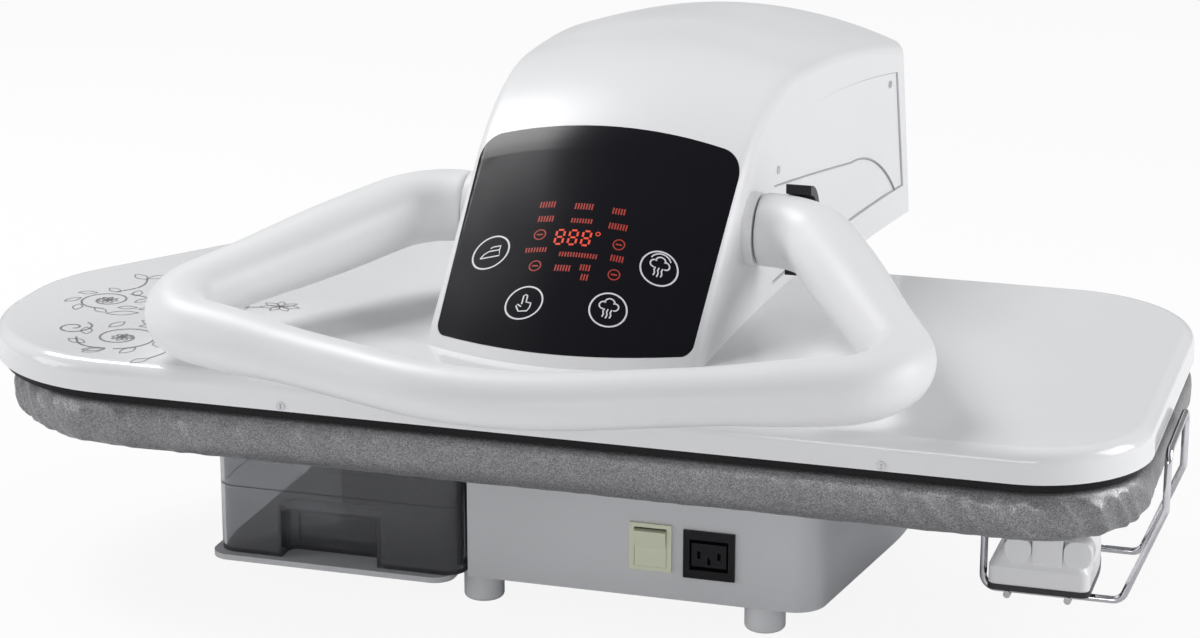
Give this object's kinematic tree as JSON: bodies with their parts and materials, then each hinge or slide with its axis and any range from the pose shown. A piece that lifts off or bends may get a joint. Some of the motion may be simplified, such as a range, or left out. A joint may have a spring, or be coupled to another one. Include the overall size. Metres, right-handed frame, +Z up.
{
  "type": "steam ironing press",
  "caption": "Table-top steam ironing press with a hinged heated plate, arched control hood, loop handle, padded board, water tank and hand iron on a wire rest.",
  "frame": {"origin": "on the table, under the middle of the whole press with its head closed", "axes": "+X to the user's right along the board, +Y to the rear, +Z up"},
  "size_m": [0.833, 0.6982, 0.3437],
  "materials": {
    "white_casing": "high gloss",
    "grey_moulding": "fine satin",
    "cover_cloth": "metallised weave",
    "pad_foam": "open foam",
    "sheet_steel": "zinc plated",
    "bright_steel": "polished",
    "bronze": "machined",
    "heater_black": "non-stick coat",
    "aluminium": "cast",
    "black_plastic": "satin",
    "board_green": "lacquered",
    "panel_glass": "dark glass",
    "fuse_white": "glazed sleeve",
    "pump_body": "satin",
    "hose": "silicone",
    "switch_cream": "gloss",
    "smoke_clear": "clear smoke tint",
    "cap_grey": "satin",
    "wire_chrome": "bright plated",
    "iron_sole": "dark coat",
    "iron_white": "gloss",
    "iron_blue": "clear blue tint"
  },
  "bodies": {
    "base": {"base_bottom_plate": "sheet_steel", "base_housing": "grey_moulding", "base_screws": "bright_steel", "board_cover": "cover_cloth", "board_foam": "pad_foam", "board_support": "sheet_steel", "board_tray": "sheet_steel", "cord_gland": "black_plastic", "front_feet": "grey_moulding", "hinge_bracket_left": "sheet_steel", "hinge_bracket_right": "sheet_steel", "hinge_shaft": "bright_steel", "iron_outlet": "black_plastic", "iron_rest": "wire_chrome", "lift_springs": "bright_steel", "outlet_contacts": "bronze", "pump_inlet_hose": "hose", "pump_outlet_hose": "hose", "rear_feet": "grey_moulding", "switch_bezel": "switch_cream", "tank_dock": "black_plastic", "tank_tray": "grey_moulding", "tower_shroud": "grey_moulding", "water_pump": "pump_body", "water_union": "bronze"},
    "switch": {"power_rocker": "switch_cream"},
    "tank": {"water_tank": "smoke_clear", "tank_lid": "smoke_clear", "tank_valve": "black_plastic"},
    "filler_cap": {"tank_cap": "cap_grey"},
    "head": {"plate_shell": "white_casing", "heater_plate": "heater_black", "heating_element": "aluminium", "steam_chamber": "aluminium", "thermostat": "black_plastic", "thermal_fuse": "fuse_white", "rim_screws": "bright_steel", "lever_arm_left": "sheet_steel", "lever_arm_right": "sheet_steel", "arm_bushes": "bronze", "crossbar": "sheet_steel", "plate_bolts": "bright_steel", "steam_hose": "hose", "hood": "white_casing", "side_panel_left": "white_casing", "side_panel_right": "white_casing", "hood_screws": "bright_steel", "control_glass": "panel_glass", "panel_carrier": "white_casing", "display_module": "black_plastic", "control_board": "board_green"},
    "handle": {"handle_grip": "white_casing", "handle_shaft": "bright_steel", "handle_clip": "black_plastic", "pressure_cam": "sheet_steel"},
    "hand_iron": {"iron_soleplate": "iron_sole", "iron_body": "iron_white", "iron_handle": "iron_white", "iron_window": "iron_blue"}
  },
  "joints": [
    {"name": "head_hinge", "type": "hinge", "parent": "base", "child": "head", "pos_m": [0.003, 0.1962, 0.2], "axis": [-1, 0, 0], "range_deg": [0, 36]},
    {"name": "handle_pivot", "type": "hinge", "parent": "head", "child": "handle", "pos_m": [0.003, -0.0438, 0.239], "axis": [-1, 0, 0], "range_deg": [0, 25]},
    {"name": "tank_slide", "type": "slide", "parent": "base", "child": "tank", "axis": [0, -1, 0], "range_m": [0, 0.17]},
    {"name": "cap_turn", "type": "hinge", "parent": "tank", "child": "filler_cap", "pos_m": [-0.146, -0.1538, 0.11], "axis": [0, 0, 1], "range_deg": [0, 60]},
    {"name": "rocker_tilt", "type": "hinge", "parent": "base", "child": "switch", "pos_m": [0.0786, -0.2038, 0.0584], "axis": [-1, 0, 0], "range_deg": [0, 14]},
    {"name": "iron_slide", "type": "slide", "parent": "base", "child": "hand_iron", "axis": [0, -1, 0], "range_m": [0, 0.2]}
  ]
}
